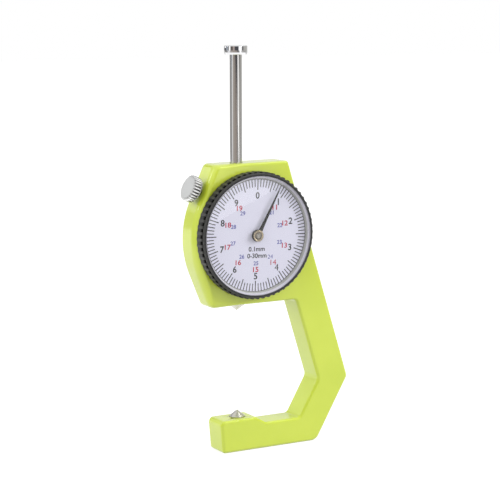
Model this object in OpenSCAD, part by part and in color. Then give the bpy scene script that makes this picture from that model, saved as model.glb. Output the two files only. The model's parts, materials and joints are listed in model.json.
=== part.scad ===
// Dial thickness gauge: a C-frame with a rack spindle, a pinion-driven pointer and a turning bezel.
// Origin: on the foot's flat base, under the spindle. +X to the right of the dial, dial faces -Y, +Z up.

/* [Measuring range] */
// Gap between the two tips with the spindle at its upper stop
tip_gap = 30.82; // [26:0.02:36]
// Spindle travel for one turn of the pointer
turn_travel = 10; // [9:0.5:12]
// Teeth on the pinion
pinion_teeth = 16; // [14:1:20]

/* [Spindle] */
// Diameter of the spindle rod
spindle_d = 3.7; // [3.2:0.1:4.4]
// Diameter of the finger cap
cap_d = 7; // [5.6:0.1:9]
// Height of the finger cap
cap_h = 2.7; // [2.4:0.1:5]
// Chamfer on both edges of the finger cap
cap_chamfer = 0.3; // [0.2:0.1:0.8]
// Depth of the rod's end inside the cap
cap_socket = 1.7; // [1:0.1:2]
// Room left between cap and body when the tips touch
cap_clear = 1.5; // [0.5:0.1:4]
// Depth of the rack's tooth tips below the rod's surface
rack_flat = 0.06; // [0.02:0.01:0.2]
// Rack length past the pinion at each end of the travel
rack_overrun = 2.2; // [1.5:0.1:4]
// Diameter of the guide pin in the spindle
guide_pin_d = 1.2; // [0.8:0.1:1.5]
// Room for the guide pin past each end of its travel
pin_run_out = 0.9; // [0.5:0.1:2]

/* [Measuring tips] */
// Base diameter of the tip cones
tip_d = 4.7; // [4.4:0.1:6.5]
// Full angle of the tip cones
tip_angle = 102; // [80:1:120]
// Height of the round lip under each cone
tip_lip = 0.3; // [0.2:0.05:1]
// Diameter of the stems that hold the tips
tip_stem_d = 2; // [1.2:0.1:2.4]
// Length of the stems that hold the tips
tip_stem_l = 4; // [2.5:0.1:6]

/* [Frame] */
// Thickness of the frame from front to back
frame_t = 8.6; // [8:0.1:12]
// Rounding of the frame's back edges
edge_r = 0.6; // [0.3:0.1:0.9]
// Rounding of the frame's front edges on strut, limb and foot
front_edge_r = 0.9; // [0.3:0.1:0.9]
// Rounding of the body's front edge at its left flanks
flank_edge_r = 1.3; // [0.6:0.1:1.8]
// Rounding of the body's front and back edges at its lower left corner
chin_edge_r = 1.8; // [0.6:0.1:1.8]
// Wall between the mechanism pocket and the body's top
top_wall = 4.5; // [3:0.05:8]
// Wall between the mechanism pocket and the body's bottom
bottom_wall = 4.35; // [3:0.05:8]
// Body's top edge to the left of the dial axis
shoulder_left = 12.05; // [10:0.05:13]
// Body's top edge to the right of the dial axis
shoulder_right = 12.6; // [12:0.05:14]
// Rise of the body's top edge towards the right
top_rise = 0.3; // [0:0.05:0.6]
// Rounding of the body's top left corner
shoulder_r = 2; // [1.4:0.1:4]
// Rounding of the body's top right corner
shoulder_right_r = 1; // [1:0.1:4]
// Corner of the body's left flanks, left of the dial axis
left_bulge = 21.7; // [20:0.05:24]
// Rounding of that corner
bulge_r = 28; // [15:0.5:30]
// Body's bottom edge to the left of the dial axis
chin_left = 13.75; // [11:0.05:16]
// Rounding of the body's lower left corner
chin_r = 1.9; // [1.9:0.1:5]
// How far that corner hangs below the body's bottom edge
chin_drop = 0.45; // [0.2:0.05:0.8]
// Slope of the strut from upright, in degrees
strut_slope = 17.6; // [14:0.1:20]
// Width of the strut
strut_w = 10.25; // [7:0.05:11]
// Height of the outer elbow above the base
elbow_z = 19.4; // [17:0.05:24]
// Rounding of the outer elbow
elbow_r = 1.6; // [1:0.1:6]
// Rounding of the inner elbow
inner_elbow_r = 2.4; // [0.5:0.1:6]
// Rounding of the two inner corners of the throat
throat_r = 1.5; // [0.5:0.1:4]
// Slope of the lower limb from upright, in degrees
limb_slope = 30.3; // [25:0.1:35]
// Width of the lower limb
limb_w = 9.5; // [7:0.1:11]
// Rounding of the heel under the lower limb
heel_r = 3; // [1:0.1:5]

/* [Foot] */
// Height of the lower arm
arm_h = 8.05; // [6.5:0.05:8.5]
// Height of the raised pad under the anvil
pad_h = 10.05; // [9:0.05:14]
// Reach of the pad to the left of the spindle
pad_left = 7.9; // [6:0.05:12]
// Reach of the pad to the right of the spindle
pad_right = 4.6; // [3.5:0.1:6]
// Length of the slanted step from pad to arm
step_run = 3.5; // [2:0.1:5]
// Rounding of the slanted step
step_r = 1; // [1:0.1:2]
// How far the foot's end leans in towards the base
toe_lean = 0.9; // [0:0.1:2]
// Rounding of the toe at the base
toe_r = 1; // [1:0.1:4]
// Rounding of the pad's end
pad_r = 1.6; // [1:0.1:2.5]

/* [Bezel and dial] */
// Outer diameter of the bezel over its ribs
bezel_d = 38.6; // [36:0.1:42]
// Height of the bezel's front edge above the frame
rim_h = 4.15; // [4:0.05:6]
// Gap between the bezel's back and the frame
bezel_gap = 0.2; // [0.1:0.05:0.5]
// Radial width of the bezel's wall round the crystal
bezel_wall = 1.35; // [1.2:0.05:2]
// Length of the bezel's smooth front
nose_h = 1; // [0.5:0.1:1.5]
// Share of the front's width that is flat
nose_flat = 0.7; // [0.3:0.1:0.9]
// Number of grip ribs on the bezel
rib_count = 64; // [40:1:90]
// Height of the grip ribs
rib_h = 0.55; // [0.2:0.05:0.7]
// Thickness of the crystal
crystal_t = 0.45; // [0.4:0.05:0.8]
// Height of the sloped ring between dial and crystal
ring_h = 1.4; // [1.1:0.05:1.6]
// Radial width of the sloped ring at the dial
ring_w = 1.2; // [0.6:0.1:2]
// Radial width of the sloped ring at the crystal
ring_top_w = 0.35; // [0.2:0.05:0.5]
// Thickness of the dial plate
dial_t = 0.5; // [0.3:0.05:0.6]
// Diameter of the dial's centre hole
dial_hole_d = 2.6; // [2.2:0.1:3.2]
// Thickness of the bezel's shelf under the dial
shelf_t = 0.5; // [0.3:0.05:0.6]
// Radial width of that shelf
shelf_w = 0.8; // [0.5:0.1:2]
// Step from the crystal's seat in to the bezel's bore
bore_step = 1; // [0.6:0.1:2]
// Wire diameter of the spring that holds the bezel
bezel_wire_d = 0.56; // [0.4:0.02:0.6]
// Open part of that wire ring, in degrees
wire_opening = 24; // [10:1:90]

/* [Pointer] */
// Length of the hand from its axis
hand_l = 15.3; // [10:0.1:16]
// Width of the hand at the hub
hand_root_w = 1.2; // [0.6:0.1:1.6]
// Width of the hand at its tip
hand_tip_w = 0.3; // [0.2:0.05:0.6]
// Thickness of the hand
hand_t = 0.2; // [0.1:0.05:0.3]
// Diameter of the hand's boss
hand_boss_d = 3.5; // [3.2:0.1:4.2]
// Diameter of the hub's head
hub_d = 3.5; // [2.6:0.1:3.8]
// Thickness of the hub's head
hub_head_h = 0.2; // [0.15:0.05:0.5]
// Diameter of the hub's stem through the hand
hub_stem_d = 2; // [1.8:0.1:2.2]

/* [Rack and pinion movement] */
// Face width of the pinion
pinion_w = 3; // [2:0.1:3.2]
// Diameter of the arbor's front journal
front_journal_d = 1.6; // [1.2:0.1:2]
// Diameter of the arbor's rear journal
rear_journal_d = 1.2; // [0.8:0.1:1.4]
// Diameter of the arbor's nose in the pointer hub
arbor_nose_d = 1.1; // [0.8:0.1:1.2]
// Diameter of the arbor's two thrust collars
collar_d = 2.2; // [2.1:0.1:2.6]
// Outer diameter of the front bearing
front_bearing_d = 3.6; // [2.8:0.1:4.2]
// Outer diameter of the rear bearing
rear_bearing_d = 2.6; // [2:0.1:3]
// Outer diameter of the two spindle bushes
bush_d = 5.2; // [4.8:0.1:5.6]
// Frame left standing over the outer end of each spindle bush
bush_cover = 1; // [0.5:0.1:1.5]
// Pocket's edge to the left of the spindle
pocket_left = 6; // [5.5:0.1:6.5]
// Pocket's edge to the right of the dial axis
pocket_right = 9.5; // [9:0.1:10]
// Rounding of the pocket's corners
pocket_r = 4; // [3:0.1:5]
// Thickness of the bridge plate
bridge_t = 1; // [0.8:0.05:1.2]
// Width of the bridge's arm and of its bar
bridge_w = 4.4; // [3.8:0.1:5]
// Distance of the bridge's screws above and below the dial axis
bridge_screw_z = 4.6; // [4:0.1:7]
// Distance of the bridge's screws from the pocket's right edge
bridge_screw_x = 2.7; // [2.5:0.1:3]
// Diameter of the posts under the bridge
post_d = 3.2; // [2.6:0.1:3.6]
// Thread diameter of the bridge screws
bridge_screw_d = 1.4; // [1:0.1:1.6]
// Head diameter of the bridge screws
bridge_head_d = 2.6; // [2.2:0.1:3]
// Head height of the bridge screws
bridge_head_h = 0.6; // [0.4:0.05:0.7]
// Thread length of the bridge screws below the bridge
bridge_screw_l = 2.5; // [1.5:0.1:3.5]
// Diameter of the hairspring's collet
collet_d = 2.6; // [2:0.1:3]
// Thickness of the hairspring's strip
strip_t = 0.12; // [0.08:0.01:0.2]
// Pitch of the hairspring's turns
spring_pitch = 0.6; // [0.55:0.01:0.7]
// Turns of the hairspring
spring_turns = 6; // [4:1:6]
// Diameter of the hairspring's stud
stud_d = 0.9; // [0.6:0.05:1.2]

/* [Lock screw] */
// Height of the lock above the dial axis, where its axis meets the spindle
lock_rise = 7.55; // [6:0.05:9]
// Thread diameter of the lock screw
lock_d = 3; // [2.4:0.1:3.6]
// Diameter of the knurled head
knob_d = 8.2; // [6:0.1:10]
// Thickness of the knurled head
knob_t = 2.7; // [2:0.1:5]
// Gap between the head and the body when the spindle is locked
knob_gap = 1.6; // [1:0.1:3]
// Ridges of the knurl
knurl_count = 26; // [18:1:48]
// Depth of the knurl
knurl_h = 0.3; // [0.1:0.05:0.4]
// Width of the head's smooth chamfer
knob_chamfer = 0.35; // [0.2:0.05:0.6]
// Diameter of the lock pad
pad_d = 2.2; // [1.8:0.1:2.3]
// Length of the lock pad behind its round nose
pad_l = 1.4; // [0.8:0.1:1.8]
// Diameter of the pad's stem
pad_stem_d = 1.2; // [0.8:0.1:1.4]
// Length of the pad's stem
pad_stem_l = 1; // [0.6:0.1:1.6]

/* [Back cover] */
// Thickness of the back cover
cover_t = 1.2; // [1:0.05:2]
// Lap of the back cover round the pocket
cover_lap = 2.1; // [1.9:0.05:2.2]
// Edge chamfer of the back cover
cover_chamfer = 0.3; // [0.1:0.05:0.5]
// Thread diameter of the cover screws
cover_screw_d = 1.6; // [1.2:0.1:1.8]
// Head diameter of the cover screws
cover_head_d = 3; // [2.4:0.1:3.2]
// Thread length of the cover screws below the head
cover_screw_l = 3.4; // [2:0.1:4]

/* [Clearances] */
// Radial clearance of pressed and screwed pieces
press_gap = 0.01; // [0.005:0.005:0.03]
// Radial clearance of running and sliding fits
run_gap = 0.04; // [0.02:0.01:0.08]
// Gap at stops and between faces that must not touch
face_gap = 0.1; // [0.05:0.01:0.15]
// Radial gap of the rod's holes in the frame's outer skin
rod_hole_gap = 0.15; // [0.1:0.01:0.3]
// Gap between the rod and the pocket's floor
rod_gap = 0.35; // [0.3:0.05:0.6]
// Gap between the rod and the bridge
bridge_gap = 0.3; // [0.2:0.05:0.4]
// Backlash of rack and pinion on the pitch line
backlash = 0.06; // [0.05:0.01:0.1]
// Depth of the guide pin's groove in the pocket's floor
groove_depth = 0.9; // [0.6:0.1:1.2]

/* [Hidden] */
$fn = 48;

// Pressure angle of rack and pinion
flank_angle = 20;
// Root depth as a multiple of the tooth's module
root_factor = 1.25;
// Points on each curved tooth flank
flank_points = 4;
// Facets in the quarter round of the frame's edges
edge_steps = 4;
// Sweep of one facet on the frame's small corners and on its wide bulge, in degrees
corner_sweep = 14;
bulge_sweep = 3.5;
// Radius above which a corner counts as wide
wide_corner = 10;
// Points in one turn of the hairspring
spring_points = 24;
// Share of the head height that a screw slot takes, and the slot's width as a share of the head
slot_depth = 0.6;
slot_width = 0.18;
// Angle of a countersunk head
sink_angle = 90;
// Extra length of cutters past the faces that they cut
over = 1;

spindle_r = spindle_d / 2;
tip_h = tip_lip + tip_d / 2 / tan(tip_angle / 2);
front_y = -frame_t / 2;
back_y = frame_t / 2;

// Heights, from the base up
body_bottom = pad_h + tip_h + tip_gap + tip_h + face_gap;
pocket_h = tip_gap + guide_pin_d + 2 * pin_run_out;
pocket_bottom = body_bottom + bottom_wall;
pocket_top = pocket_bottom + pocket_h;
body_top = pocket_top + top_wall;
dial_z = (pocket_bottom + pocket_top) / 2;
cap_bottom = body_top + tip_gap + cap_clear;
spindle_bottom = body_bottom - face_gap;
guide_pin_z = pocket_top - pin_run_out - guide_pin_d / 2;

// Rack and pinion
tooth_pitch = turn_travel / pinion_teeth;
tooth_module = tooth_pitch / PI;
pinion_r = turn_travel / (2 * PI);
pinion_tip_r = pinion_r + tooth_module;
pinion_root_r = pinion_r - root_factor * tooth_module;
pinion_base_r = pinion_r * cos(flank_angle);
rack_tip_x = spindle_r - rack_flat;
rack_line_x = rack_tip_x - tooth_module;
rack_root_x = rack_line_x - root_factor * tooth_module;
dial_x = rack_line_x + pinion_r;
rack_teeth = ceil((tip_gap + rack_overrun) / tooth_pitch);
rack_teeth_below = ceil(rack_overrun / tooth_pitch);
tooth_w = (tooth_pitch - backlash) / 2;

// Frame outline
tan_strut = tan(strut_slope);
tan_limb = tan(limb_slope);
strut_run = strut_w / cos(strut_slope);
limb_run = limb_w / cos(limb_slope);
shoulder_x = dial_x + shoulder_right;
elbow_x = shoulder_x + tan_strut * (body_top + top_rise - elbow_z);
heel_x = elbow_x - tan_limb * elbow_z;
inner_elbow_z = elbow_z + (limb_run - strut_run) / (tan_limb + tan_strut);
inner_elbow_x = elbow_x - strut_run - tan_strut * (inner_elbow_z - elbow_z);
throat_top_x = elbow_x - strut_run - tan_strut * (body_bottom - elbow_z);
throat_foot_x = elbow_x - limb_run - tan_limb * (elbow_z - arm_h);
shoulder_edge_r = (front_edge_r + flank_edge_r) / 2;
chin_x = dial_x - chin_left;
// Place and rounding of the bend where the bottom edge begins to fall, left of the spindle's tip
chin_bend_x = -tip_d / 2 - 2 * face_gap;
chin_bend_r = 6;
// Corners of the outline: place, rounding seen from the front, and rounding of the front and back edges there
frame_corners = [
  [-pad_left + toe_lean, 0, toe_r, front_edge_r, edge_r],
  [heel_x, 0, heel_r, front_edge_r, edge_r],
  [elbow_x, elbow_z, elbow_r, front_edge_r, edge_r],
  [shoulder_x, body_top + top_rise, shoulder_right_r, front_edge_r, edge_r],
  [dial_x - shoulder_left, body_top, shoulder_r, shoulder_edge_r, edge_r],
  [dial_x - left_bulge, dial_z, bulge_r, flank_edge_r, edge_r],
  [chin_x, body_bottom - chin_drop, chin_r, chin_edge_r, chin_edge_r],
  [chin_bend_x, body_bottom, chin_bend_r, front_edge_r, edge_r],
  [throat_top_x, body_bottom, throat_r, front_edge_r, edge_r],
  [inner_elbow_x, inner_elbow_z, inner_elbow_r, front_edge_r, edge_r],
  [throat_foot_x, arm_h, throat_r, front_edge_r, edge_r],
  [pad_right + step_run, arm_h, step_r, front_edge_r, edge_r],
  [pad_right, pad_h, step_r, front_edge_r, edge_r],
  [-pad_left, pad_h, pad_r, front_edge_r, edge_r]
];

// Depths of the movement, from the pocket's floor to the back cover
floor_y = -(spindle_r + rod_gap);
bridge_y = spindle_r + bridge_gap;
bridge_back_y = bridge_y + bridge_t;
strip_y = bridge_back_y + 2 * face_gap;
strip_w = back_y - 2 * face_gap - strip_y;
pocket_x0 = -pocket_left;
pocket_x1 = dial_x + pocket_right;
post_x = pocket_x1 - bridge_screw_x;

// Heights above the frame's front face
crystal_h = rim_h - crystal_t;
dial_h = crystal_h - ring_h;
shelf_h = dial_h - dial_t - shelf_t;
spigot_h = shelf_h - face_gap;
boss_h = dial_h + face_gap;
hub_top_h = crystal_h - face_gap;
hub_h = hub_top_h - hub_head_h;
hand_boss_h = hub_h - boss_h;
hand_h = hub_h - hand_t;
pointer_turn = 360 * tip_gap / turn_travel;

// Radii of the bezel, from the outside in
bezel_r = bezel_d / 2;
rib_root_r = bezel_r - rib_h;
cavity_r = bezel_r - bezel_wall;
bore_r = cavity_r - bore_step;
spigot_r = bore_r - run_gap;
shelf_r = bore_r - shelf_w;
wire_h = (bezel_gap + spigot_h) / 2;
wire_r = (bore_r + spigot_r) / 2;
wire_room = bezel_wire_d / 2 + face_gap;

// Lock screw, measured outwards from the spindle's axis
lock_z = dial_z + lock_rise;
lock_tilt = atan((left_bulge - shoulder_left) / (body_top - dial_z));
lock_face = (shoulder_left - dial_x) * cos(lock_tilt) + (body_top - lock_z) * sin(lock_tilt);
nose_s = (spindle_r + face_gap + pad_d / 2) / cos(lock_tilt);
lock_screw_s = nose_s + pad_l + run_gap;
knob_s = lock_face + knob_gap;

function unit(v) = v / norm(v);
function wrap(list, i) = list[(i + len(list)) % len(list)];

// Points of one rounded corner of an outline, with the whole outline drawn in by inset
function corner_points(before, corner, after, r, inset) =
  let (
    u = unit(before - corner),
    v = unit(after - corner),
    half = acos(u * v) / 2,
    centre = corner + unit(u + v) * r / sin(half),
    start = corner + u * r / tan(half) - centre,
    finish = corner + v * r / tan(half) - centre,
    from = atan2(start.y, start.x),
    turn = (atan2(finish.y, finish.x) - from + 540) % 360 - 180,
    steps = max(3, ceil(abs(turn) / (r > wide_corner ? bulge_sweep : corner_sweep))),
    reach = r - sign(turn) * inset
  )
  [for (i = [0:steps]) centre + reach * [cos(from + turn * i / steps), sin(from + turn * i / steps)]];

function flat(c) = [c[0], c[1]];
// Loop of points round the casting, at an angle of its edges' rounding: 0 on the face, 90 on the side
function outline_loop(angle, front) = [
  for (i = [0:len(frame_corners) - 1])
    let (
      corner = frame_corners[i],
      edge = corner[front ? 3 : 4],
      y = front ? front_y + edge * (1 - cos(angle)) : back_y - edge * (1 - cos(angle))
    )
    for (p = corner_points(flat(wrap(frame_corners, i - 1)), flat(corner), flat(wrap(frame_corners, i + 1)),
      corner[2], edge * (1 - sin(angle)))) [p.x, y, p.y]
];

// Triangles of a closed outline, found by cutting off one ear after another
function side_of(a, b, p) = (b.x - a.x) * (p.y - a.y) - (b.y - a.y) * (p.x - a.x);
function holds(a, b, c, p) = side_of(a, b, p) > 0 && side_of(b, c, p) > 0 && side_of(c, a, p) > 0;
function is_ear(points, left, i) =
  let (a = points[wrap(left, i - 1)], b = points[left[i]], c = points[wrap(left, i + 1)])
  side_of(a, b, c) > 0 && len([for (j = left) if (holds(a, b, c, points[j])) j]) == 0;
function first_ear(points, left, i = 0) = is_ear(points, left, i) ? i : first_ear(points, left, i + 1);
function triangles(points, left, found = []) =
  len(left) == 3 ? concat(found, [left]) :
  let (i = first_ear(points, left))
  triangles(points, [for (k = [0:len(left) - 1]) if (k != i) left[k]],
    concat(found, [[wrap(left, i - 1), left[i], wrap(left, i + 1)]]));

// Involute of an angle given in degrees, in degrees
function involute(a) = (tan(a) * 180 / PI) - a;
// Half the angle that a pinion tooth takes at a radius
function tooth_half_angle(r) =
  tooth_w / 2 / pinion_r * 180 / PI + involute(flank_angle)
  - involute(acos(min(1, pinion_base_r / max(r, pinion_base_r))));
function polar(r, a) = [r * cos(a), r * sin(a)];
flank_radii = concat(
  [pinion_root_r],
  [for (i = [0:flank_points]) pinion_base_r + (pinion_tip_r - pinion_base_r) * i / flank_points]
);
// A gap of the pinion faces the rack, so that a rack tooth stands in it
pinion_points = [
  for (i = [0:pinion_teeth - 1])
    let (middle = 180 + (i + 0.5) * 360 / pinion_teeth)
    each concat(
      [for (r = flank_radii) polar(r, middle - tooth_half_angle(r))],
      [for (k = [len(flank_radii) - 1:-1:0]) polar(flank_radii[k], middle + tooth_half_angle(flank_radii[k]))]
    )
];

// Half the height of a rack tooth at a distance from the spindle's axis
function rack_half(x) = tooth_w / 2 + (rack_line_x - x) * tan(flank_angle);
rack_points = [
  for (i = [-rack_teeth_below:rack_teeth])
    let (z = dial_z + i * tooth_pitch)
    each [
      [rack_root_x, z - rack_half(rack_root_x)],
      [rack_tip_x, z - rack_half(rack_tip_x)],
      [rack_tip_x, z + rack_half(rack_tip_x)],
      [rack_root_x, z + rack_half(rack_root_x)]
    ]
];

// Flat spiral of the hairspring, from the collet out to the stud
spring_r = collet_d / 2 + run_gap + strip_t / 2;
spring_out_r = spring_r + spring_turns * spring_pitch;
function spiral(k, side) = polar(
  spring_r + k / spring_points * spring_pitch + side * strip_t / 2, 360 * k / spring_points);
spring_steps = spring_turns * spring_points;
stud_x = dial_x + spring_out_r + strip_t / 2 + stud_d / 2;

// Points of a ribbed ring with trapezoid ribs
function rib_points(count, root_r, tip_r) = [
  for (i = [0:count - 1])
    let (pitch = 360 / count, a = i * pitch)
    each [
      polar(root_r, a), polar(tip_r, a + 0.25 * pitch),
      polar(tip_r, a + 0.5 * pitch), polar(root_r, a + 0.75 * pitch)
    ]
];

// Round bar along Y, between two depths
module y_bar(x, z, y0, y1, d) {
  translate([x, y1, z]) rotate([90, 0, 0]) cylinder(h = y1 - y0, d = d);
}

// Flat shape drawn in X and Z, given a thickness between two depths
module y_slab(y0, y1) {
  translate([0, y1, 0]) rotate([90, 0, 0]) linear_extrude(y1 - y0) children();
}

// Frame of the dial: local Z stands on the frame's front face and points to the viewer
module on_dial() {
  translate([dial_x, front_y, dial_z]) rotate([90, 0, 0]) children();
}

// Frame of the lock screw: local Z points outwards, from the spindle's axis
module on_lock() {
  translate([0, 0, lock_z]) rotate([0, lock_tilt - 90, 0]) children();
}

module rounded_box(x0, x1, z0, z1, r) {
  translate([x0 + r, z0]) square([x1 - x0 - 2 * r, z1 - z0]);
  translate([x0, z0 + r]) square([x1 - x0, z1 - z0 - 2 * r]);
  for (x = [x0 + r, x1 - r], z = [z0 + r, z1 - r])
    translate([x, z]) circle(r);
}

module at_cover_screws() {
  for (x = [pocket_x0, pocket_x1], z = [pocket_bottom, pocket_top])
    translate([x, 0, z]) children();
}

module at_bridge_screws() {
  for (z = [dial_z - bridge_screw_z, dial_z + bridge_screw_z])
    translate([post_x, 0, z]) children();
}

// Triangles of a loop's flat face, as numbers of the casting's points
function face_triangles(loop, first) = [
  for (t = triangles([for (p = loop) [p.x, p.z]], [for (i = [0:len(loop) - 1]) i])) [for (k = t) first + k]
];

// C-shaped casting with rounded front and back edges
module casting() {
  quarter = [for (k = [0:edge_steps]) 90 * k / edge_steps];
  loops = concat(
    [for (angle = quarter) outline_loop(angle, true)],
    [for (k = [edge_steps:-1:0]) outline_loop(quarter[k], false)]
  );
  n = len(loops[0]);
  last = len(loops) - 1;
  sides = [
    for (k = [0:last - 1]) for (i = [0:n - 1])
      let (a = k * n + i, b = k * n + (i + 1) % n)
      each [[a, b, b + n], [a, b + n, a + n]]
  ];
  front_face = [for (t = face_triangles(loops[0], 0)) [t[2], t[1], t[0]]];
  back_face = face_triangles(loops[last], last * n);
  polyhedron(points = [for (loop = loops) each loop], faces = concat(front_face, back_face, sides));
}

module pocket() {
  y_slab(floor_y, back_y + over)
    rounded_box(pocket_x0, pocket_x1, pocket_bottom, pocket_top, pocket_r);
  groove_r = guide_pin_d / 2 + run_gap;
  y_slab(floor_y - groove_depth, floor_y + face_gap)
    translate([-groove_r, pocket_bottom])
      square([2 * groove_r, pocket_h]);
}

module spindle_holes() {
  skin_r = spindle_r + rod_hole_gap;
  seat_r = bush_d / 2 + press_gap;
  translate([0, 0, body_bottom - over]) cylinder(h = body_top - body_bottom + 2 * over, r = skin_r);
  translate([0, 0, body_bottom + bush_cover])
    cylinder(h = body_top - body_bottom - 2 * bush_cover, r = seat_r);
}

module wire_groove(r0, r1) {
  translate([0, 0, wire_h - wire_room])
    difference() {
      cylinder(h = 2 * wire_room, r = r1);
      translate([0, 0, -over]) cylinder(h = 2 * wire_room + 2 * over, r = r0);
    }
}

module frame() {
  color("yellowgreen")
  difference() {
    union() {
      difference() {
        union() {
          casting();
          on_dial() translate([0, 0, -edge_r]) cylinder(h = spigot_h + edge_r, r = spigot_r);
        }
        pocket();
      }
      at_bridge_screws() y_bar(0, 0, floor_y - press_gap, bridge_y, post_d);
    }
    spindle_holes();
    y_bar(dial_x, dial_z, front_y - spigot_h - over, floor_y + over, front_bearing_d + 2 * press_gap);
    on_dial() wire_groove(wire_r - wire_room, bore_r + over);
    on_lock() cylinder(h = lock_face + over, d = lock_d);
    at_cover_screws()
      y_bar(0, 0, back_y - cover_screw_l - face_gap, back_y + over, cover_screw_d + 2 * press_gap);
    at_bridge_screws()
      y_bar(0, 0, bridge_y - bridge_screw_l - face_gap, bridge_y + over, bridge_screw_d + 2 * press_gap);
    translate([0, 0, pad_h - tip_stem_l - face_gap])
      cylinder(h = tip_stem_l + face_gap + over, d = tip_stem_d + 2 * press_gap);
  }
}

// Screw along Y with its head at the back: flat head where sink is false, countersunk where true
module y_screw(head_y, head_d, head_h, screw_d, length, sink) {
  difference() {
    union() {
      y_bar(0, 0, head_y - head_h - length, head_y - head_h, screw_d);
      translate([0, head_y, 0]) rotate([90, 0, 0])
        cylinder(h = head_h, d1 = head_d, d2 = sink ? screw_d : head_d);
    }
    for (turn = sink ? [0, 90] : [0])
      translate([0, head_y + over, 0]) rotate([90, turn, 0])
        translate([-head_d, -slot_width * head_d / 2, 0])
          cube([2 * head_d, slot_width * head_d, over + slot_depth * head_h]);
  }
}

cover_head_h = (cover_head_d - cover_screw_d) / 2 / tan(sink_angle / 2);
cover_back_y = back_y + cover_t;

module back_cover() {
  x0 = pocket_x0 - cover_lap;
  x1 = pocket_x1 + cover_lap;
  z0 = pocket_bottom - cover_lap;
  z1 = pocket_top + cover_lap;
  step = cover_chamfer / 2;
  color("yellowgreen")
  difference() {
    union() {
      y_slab(back_y, cover_back_y - cover_chamfer) rounded_box(x0, x1, z0, z1, pocket_r);
      y_slab(back_y, cover_back_y - step)
        rounded_box(x0 + step, x1 - step, z0 + step, z1 - step, pocket_r - step);
      y_slab(back_y, cover_back_y)
        rounded_box(x0 + cover_chamfer, x1 - cover_chamfer, z0 + cover_chamfer, z1 - cover_chamfer,
          pocket_r - cover_chamfer);
    }
    at_cover_screws() {
      y_bar(0, 0, back_y - over, cover_back_y, cover_screw_d + 2 * press_gap);
      translate([0, cover_back_y, 0]) rotate([90, 0, 0])
        cylinder(h = cover_head_h, d1 = cover_head_d + 2 * press_gap, d2 = cover_screw_d + 2 * press_gap);
    }
  }
}

module back_cover_screws() {
  color("silver")
  at_cover_screws()
    y_screw(cover_back_y, cover_head_d, cover_head_h, cover_screw_d,
      cover_screw_l + cover_t - cover_head_h, true);
}

module bush(z0, z1) {
  color("goldenrod")
  difference() {
    translate([0, 0, z0]) cylinder(h = z1 - z0, d = bush_d);
    translate([0, 0, z0 - over]) cylinder(h = z1 - z0 + 2 * over, r = spindle_r + run_gap);
  }
}

module upper_bush() {
  bush(pocket_top, body_top - bush_cover);
}

module lower_bush() {
  bush(body_bottom + bush_cover, pocket_bottom);
}

// Measuring tip that points up, with its lip's underside at the origin and its stem below
module tip() {
  color("silver") {
    cylinder(h = tip_lip, d = tip_d);
    translate([0, 0, tip_lip]) cylinder(h = tip_h - tip_lip, d1 = tip_d, d2 = 0);
    translate([0, 0, -tip_stem_l]) cylinder(h = tip_stem_l + tip_lip, d = tip_stem_d);
  }
}

module anvil_tip() {
  translate([0, 0, pad_h]) tip();
}

module spindle_tip() {
  translate([0, 0, spindle_bottom]) rotate([180, 0, 0]) tip();
}

module spindle() {
  color("lightsteelblue")
  difference() {
    translate([0, 0, spindle_bottom])
      cylinder(h = cap_bottom + cap_socket - spindle_bottom, d = spindle_d);
    y_slab(-spindle_d, spindle_d)
      polygon(concat(rack_points, [
        [spindle_d, rack_points[len(rack_points) - 1].y],
        [spindle_d, rack_points[0].y]
      ]));
    translate([0, 0, spindle_bottom - over])
      cylinder(h = tip_stem_l + face_gap + over, d = tip_stem_d + 2 * press_gap);
    y_bar(0, guide_pin_z, -spindle_d, 0, guide_pin_d + 2 * press_gap);
  }
}

module guide_pin() {
  color("dimgray")
  y_bar(0, guide_pin_z, floor_y - groove_depth + 2 * face_gap, -press_gap, guide_pin_d);
}

module spindle_cap() {
  color("silver")
  translate([0, 0, cap_bottom])
    difference() {
      union() {
        cylinder(h = cap_chamfer, d1 = cap_d - 2 * cap_chamfer, d2 = cap_d);
        translate([0, 0, cap_chamfer]) cylinder(h = cap_h - 2 * cap_chamfer, d = cap_d);
        translate([0, 0, cap_h - cap_chamfer])
          cylinder(h = cap_chamfer, d1 = cap_d, d2 = cap_d - 2 * cap_chamfer);
      }
      translate([0, 0, -over]) cylinder(h = cap_socket + face_gap + over, r = spindle_r + press_gap);
    }
}

module front_bearing() {
  color("goldenrod")
  difference() {
    y_bar(dial_x, dial_z, front_y - spigot_h, floor_y, front_bearing_d);
    y_bar(dial_x, dial_z, front_y - spigot_h - over, floor_y + over, front_journal_d + 2 * run_gap);
  }
}

module bridge() {
  color("khaki")
  difference() {
    y_slab(bridge_y, bridge_back_y) {
      translate([dial_x, dial_z]) circle(d = bridge_w);
      translate([dial_x, dial_z - bridge_w / 2]) square([post_x - dial_x, bridge_w]);
      for (z = [dial_z - bridge_screw_z, dial_z + bridge_screw_z])
        translate([post_x, z]) circle(d = bridge_w);
      translate([post_x - bridge_w / 2, dial_z - bridge_screw_z]) square([bridge_w, 2 * bridge_screw_z]);
    }
    y_bar(dial_x, dial_z, bridge_y - over, bridge_back_y + over, rear_bearing_d + 2 * press_gap);
    y_bar(stud_x, dial_z, bridge_y - over, bridge_back_y + over, stud_d + 2 * press_gap);
    at_bridge_screws() y_bar(0, 0, bridge_y - over, bridge_back_y + over, bridge_screw_d + 2 * press_gap);
  }
}

module bridge_screws() {
  color("silver")
  at_bridge_screws()
    y_screw(bridge_back_y + bridge_head_h, bridge_head_d, bridge_head_h, bridge_screw_d,
      bridge_t + bridge_screw_l, false);
}

module rear_bearing() {
  color("goldenrod")
  difference() {
    y_bar(dial_x, dial_z, bridge_y, bridge_back_y, rear_bearing_d);
    y_bar(dial_x, dial_z, bridge_y - over, bridge_back_y + over, rear_journal_d + 2 * run_gap);
  }
}

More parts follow.
